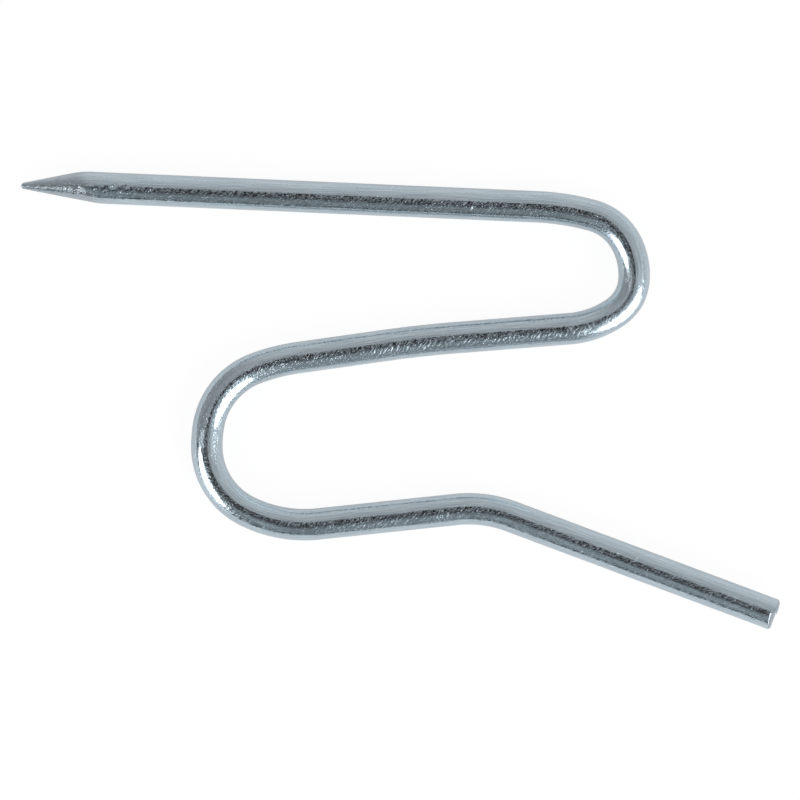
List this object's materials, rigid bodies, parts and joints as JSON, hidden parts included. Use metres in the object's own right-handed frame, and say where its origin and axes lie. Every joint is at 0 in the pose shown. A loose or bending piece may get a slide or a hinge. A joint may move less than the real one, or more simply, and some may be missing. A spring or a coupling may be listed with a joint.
{
  "type": "pin-on curtain hook",
  "caption": "Pin-on curtain hook bent from one length of zinc-plated wire: a long ground pin, a return leg, a wide hook bend and a cranked tail.",
  "frame": {"origin": "the pin's root on the wire's centre line, where the straight pin runs into its first bend", "axes": "-X along the pin towards its point, +Z square to the plane that the hook is bent in; the hook lies flat on its side"},
  "size_m": [0.0391, 0.0216, 0.0016],
  "materials": {
    "zinc_plated_steel": "bright drawn steel wire, electroplated with zinc and tumbled, with fine straightener marks"
  },
  "bodies": {
    "root": {"hook_wire": "zinc_plated_steel"}
  },
  "joints": []
}
